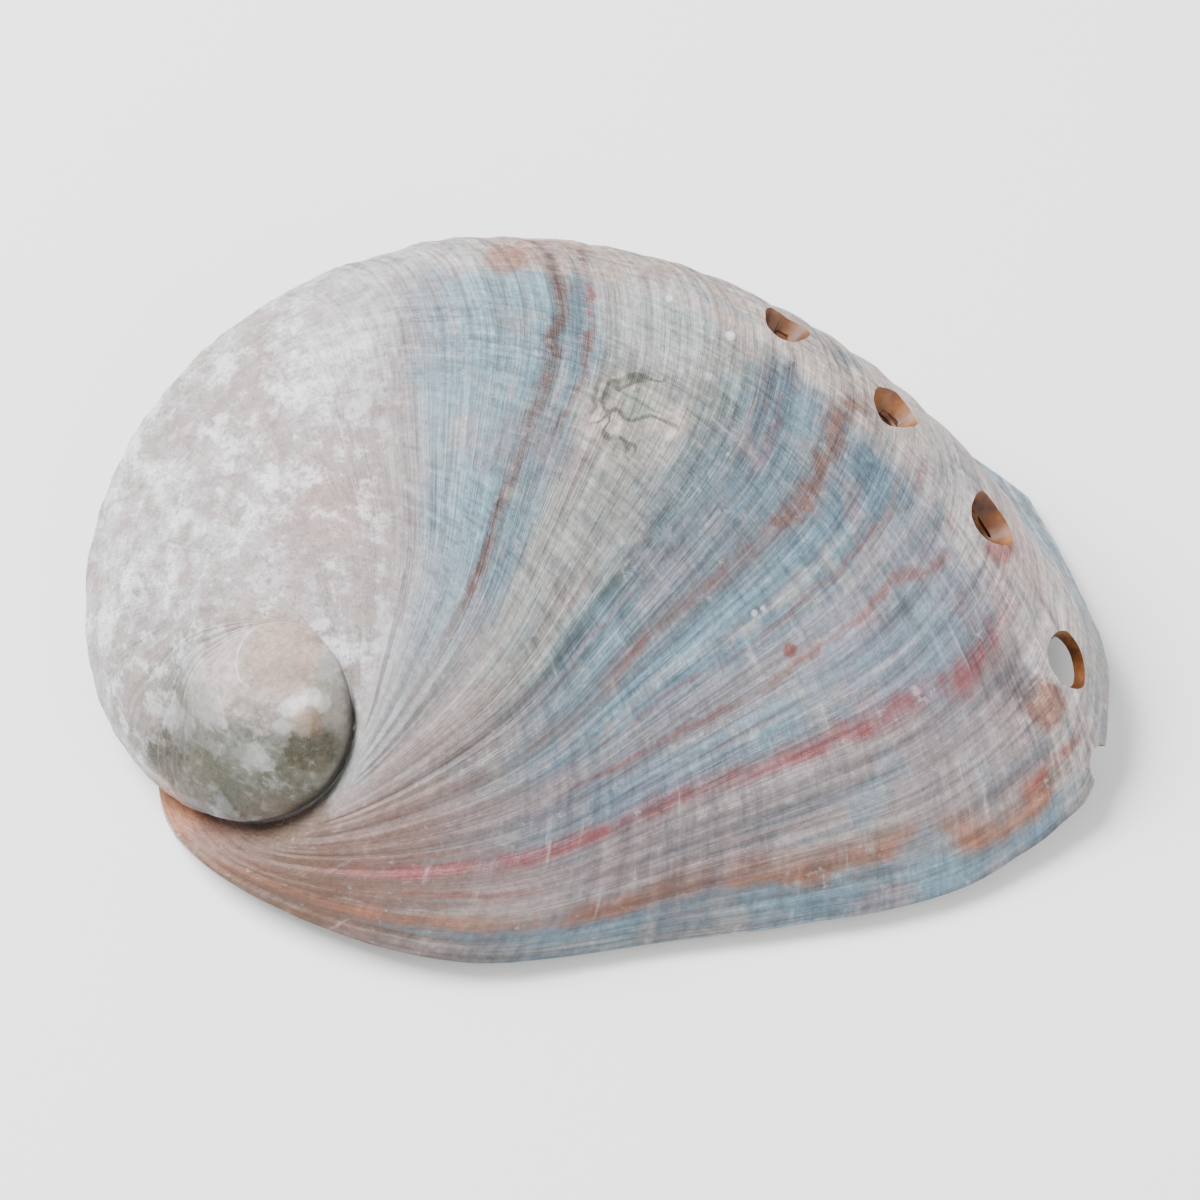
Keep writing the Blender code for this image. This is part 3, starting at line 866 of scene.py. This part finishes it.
    rough = add(tree, "MapRange", {0: fields["mottle"], 1: 0.3, 2: 0.7, 3: 0.40, 4: 0.60})
    height = add(tree, "Math", {0: fields["lines"], 1: fields["cords"]}, operation="ADD")
    height = add(tree, "Math", {0: fields["weave"], 1: 0.5, 2: height}, operation="MULTIPLY_ADD")
    height = add(tree, "Math", {0: height, 1: rubbed}, operation="MULTIPLY")
    height = add(tree, "Math", {0: height, 1: calm}, operation="MULTIPLY")
    height = add(tree, "Math", {0: fields["mottle"], 1: 0.7, 2: height}, operation="MULTIPLY_ADD")
    height = add(tree, "Math", {0: fields["grain"], 1: 0.35, 2: height}, operation="MULTIPLY_ADD")
    normal = add(tree, "Bump", {"Height": height, "Distance": 0.5 * MM, "Strength": 0.6})
    surface = add(tree, "BsdfPrincipled", {"Base Color": colour, "Roughness": rough, "Normal": normal})
    add(tree, "OutputMaterial", {"Surface": surface})
    return material


def nacre():
    """Mother of pearl, aragonite laid down in sheets: smooth, silvery, pink and green."""
    material, tree = new_tree("nacre")
    solid = add(tree, "TexCoord", give="Object")
    # Colour play in patches of about 12 millimetres
    clouds = add(tree, "TexNoise", {
        "Vector": solid, "Scale": 80.0, "Detail": 3.0, "Distortion": 1.2})
    colour = add(tree, "ValToRGB", {0: clouds}, ramp=(
        (0.30, "#b4c8cd"), (0.42, "#d3d6cc"), (0.50, "#dccdd2"), (0.58, "#bdd2c6"),
        (0.70, "#cfc0d6")))
    normal = add(tree, "Bump", {"Height": clouds, "Distance": 0.5 * MM, "Strength": 0.5})
    surface = add(tree, "BsdfPrincipled", {
        "Base Color": colour, "Roughness": 0.2, "Coat Weight": 0.3, "Normal": normal})
    add(tree, "OutputMaterial", {"Surface": surface})
    return material


def broken_edge():
    """Layers of the shell cut open at the rim: matt grey and cream, fine as paper."""
    material, tree = new_tree("layered_rim")
    solid = add(tree, "TexCoord", give="Object")
    grain = add(tree, "TexNoise", {"Vector": solid, "Scale": 900.0, "Detail": 3.0})
    colour = add(tree, "ValToRGB", {0: grain}, ramp=((0.3, "#77756f"), (0.7, "#aaa69f")))
    normal = add(tree, "Bump", {"Height": grain, "Distance": 0.2 * MM, "Strength": 0.5})
    surface = add(tree, "BsdfPrincipled", {"Base Color": colour, "Roughness": 0.6, "Normal": normal})
    add(tree, "OutputMaterial", {"Surface": surface})
    return material


def ochre_and_shaded_hole_wall():
    """Wall of a breathing hole, stained ochre by the animal and darkened with painted shade: satin. It is
    also laid on the nacre round each open hole as painted shade, so the way in looks darker inwards.
    """
    material, tree = new_tree("ochre_hole_wall_and_painted_shade")
    solid = add(tree, "TexCoord", give="Object")
    grain = add(tree, "TexNoise", {"Vector": solid, "Scale": 500.0, "Detail": 3.0})
    colour = add(tree, "ValToRGB", {0: grain}, ramp=(
        (0.3, "#3e1e0b"), (0.55, "#6b3c17"), (0.75, "#8d5c2a")))
    normal = add(tree, "Bump", {"Height": grain, "Distance": 0.2 * MM, "Strength": 0.5})
    surface = add(tree, "BsdfPrincipled", {"Base Color": colour, "Roughness": 0.5, "Normal": normal})
    add(tree, "OutputMaterial", {"Surface": surface})
    return material


class ShellSettings(bpy.types.PropertyGroup):
    """Sizes of the shell that a user would change."""

    wall: FloatProperty(
        name="Wall", description="Thickness of the wall in millimetres", default=1.9)
    ridge_height: FloatProperty(
        name="Ridge height", description="Height of the growth ridges in millimetres", default=0.42)
    cord_height: FloatProperty(
        name="Cord height", description="Height of the spiral cords in millimetres", default=0.07)
    cord_spacing: FloatProperty(
        name="Cord spacing", description="Spacing of the broad cords as a share of the edge",
        default=0.022)
    edge_chips: FloatProperty(
        name="Edge chips", description="Depth of the chips of the edge in degrees of growth",
        default=0.7)


class StageSettings(bpy.types.PropertyGroup):
    """Light and floor."""

    key_watts: FloatProperty(
        name="Key light", description="Power of the key light", default=17.0, subtype="POWER")
    fill_watts: FloatProperty(
        name="Fill light", description="Power of the fill light", default=3.5, subtype="POWER")
    sky: FloatProperty(
        name="Sky", description="Strength of the even light from all round", default=0.84)
    floor_size: FloatProperty(
        name="Floor", description="Width of the floor", default=3.0, unit="LENGTH")


class ABALONE_OT_shell(bpy.types.Operator):
    """Grow the shell, give it its wall, open the holes and finish it"""

    bl_idname = "abalone.shell"
    bl_label = "Shell"

    def execute(self, context):
        settings = context.scene.abalone_shell
        materials = [outer_shell(), nacre(), broken_edge(), ochre_and_shaded_hole_wall()]
        shell = made_object(grown_skin(settings), "abalone_shell", materials)
        cutter = made_object(hole_cutter(), "hole_cutter", materials)
        for face in cutter.data.polygons:
            face.material_index = HOLE_WALL_AND_SHADE
        shell.vertex_groups.new(name="wall")
        solidify = shell.modifiers.new("wall", "SOLIDIFY")
        solidify.thickness = settings.wall * (1.0 + FOOT_EXTRA) * MM
        solidify.offset = -1.0
        solidify.vertex_group = "wall"
        solidify.material_offset = NACRE
        solidify.material_offset_rim = RIM
        holes = shell.modifiers.new("holes", "BOOLEAN")
        holes.operation = "DIFFERENCE"
        holes.solver = "MANIFOLD"
        holes.object = cutter
        holes.material_mode = "TRANSFER"
        context.view_layer.update()
        seen = shell.evaluated_get(context.evaluated_depsgraph_get())
        mesh = bpy.data.meshes.new_from_object(seen)
        shell.modifiers.clear()
        shell.data = mesh
        mesh.name = "abalone_shell"
        bpy.data.objects.remove(cutter, do_unlink=True)
        for vert in mesh.vertices:
            vert.co = [min(max(value, low), high) for value, low, high in zip(vert.co, *CAD_BOX)]
        mesh.shade_smooth()
        mesh.set_sharp_from_angle(angle=math.radians(SHARP_DEG))
        # Painted shade: nacre faces round each open hole take the dark hole wall finish, so the view in
        # through the hole is dark
        middles = [place(skin(FIRST_HOLE_DEG + HOLE_STEP_DEG * index, HOLE_ROW))
                   for index in range(len(HOLE_SIZES))]
        for face in mesh.polygons:
            nearest = min((face.center - middle).length for middle in middles)
            if face.material_index == NACRE and nearest < PAINTED_SHADE_REACH * MM:
                face.material_index = HOLE_WALL_AND_SHADE
            face.use_smooth = face.material_index != HOLE_WALL_AND_SHADE
        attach(shell, "root")
        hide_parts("shell")
        return {"FINISHED"}


class ABALONE_OT_stage(bpy.types.Operator):
    """Lay the pale floor, set the soft light and the camera"""

    bl_idname = "abalone.stage"
    bl_label = "Stage"

    def execute(self, context):
        settings = context.scene.abalone_stage
        scene = context.scene
        bm = bmesh.new()
        bmesh.ops.create_grid(bm, x_segments=1, y_segments=1, size=0.5 * settings.floor_size)
        material, tree = new_tree("matt_white_card")
        add(tree, "OutputMaterial", {"Surface": add(tree, "BsdfPrincipled", {
            "Base Color": linear("#f8f8f8"), "Roughness": 0.9})})
        floor = made_object(bm, "floor", [material])

        world = bpy.data.worlds.new("studio")
        scene.world = world
        world.use_nodes = True
        world.node_tree.nodes["Background"].inputs[0].default_value = linear("#ffffff")
        world.node_tree.nodes["Background"].inputs[1].default_value = settings.sky

        for name, spot, size, watts in (("key", (-0.42, 0.22, 0.62), 0.5, settings.key_watts),
                                        ("fill", (0.5, -0.45, 0.5), 0.6, settings.fill_watts)):
            light = bpy.data.lights.new(name, "AREA")
            light.energy = watts
            light.size = size
            lamp = bpy.data.objects.new(name, light)
            scene.collection.objects.link(lamp)
            lamp.location = spot
            lamp.rotation_euler = (-Vector(spot)).to_track_quat("-Z", "Y").to_euler()

        aim = place(CAMERA_AIM)
        rise = math.radians(CAMERA_ELEVATION)
        back = Vector((0.0, -math.cos(rise), math.sin(rise)))
        camera = bpy.data.objects.new("camera", bpy.data.cameras.new("camera"))
        scene.collection.objects.link(camera)
        camera.location = aim + back * CAMERA_DISTANCE * MM
        camera.rotation_euler = (-back).to_track_quat("-Z", "Y").to_euler()
        camera.data.sensor_fit = "HORIZONTAL"
        camera.data.angle = 2.0 * math.atan(0.5 * FRAME_WIDTH / CAMERA_DISTANCE)
        camera.data.clip_start = 0.01
        scene.camera = camera
        return {"FINISHED"}


class ABALONE_PT_panel(bpy.types.Panel):
    """Lists the pieces in the order in which they are made"""

    bl_idname = "ABALONE_PT_panel"
    bl_label = "Abalone"
    bl_space_type = "VIEW_3D"
    bl_region_type = "UI"
    bl_category = "Abalone"

    def draw(self, context):
        for operator, group in PIECES:
            settings = getattr(context.scene, group)
            for name in settings.__annotations__:
                self.layout.prop(settings, name)
            self.layout.operator(operator)


PIECES = (("abalone.shell", "abalone_shell"), ("abalone.stage", "abalone_stage"))
CLASSES = (ShellSettings, StageSettings, ABALONE_OT_shell, ABALONE_OT_stage, ABALONE_PT_panel)


def register():
    """Register the classes and their settings."""
    for cls in CLASSES:
        bpy.utils.register_class(cls)
    bpy.types.Scene.abalone_shell = PointerProperty(type=ShellSettings)
    bpy.types.Scene.abalone_stage = PointerProperty(type=StageSettings)


def unregister():
    """Remove the settings and the classes."""
    del bpy.types.Scene.abalone_stage
    del bpy.types.Scene.abalone_shell
    for cls in reversed(CLASSES):
        bpy.utils.unregister_class(cls)


def main():
    """Build every piece."""
    register()
    bpy.ops.abalone.shell()
    bpy.ops.abalone.stage()


if __name__ == "__main__":
    main()
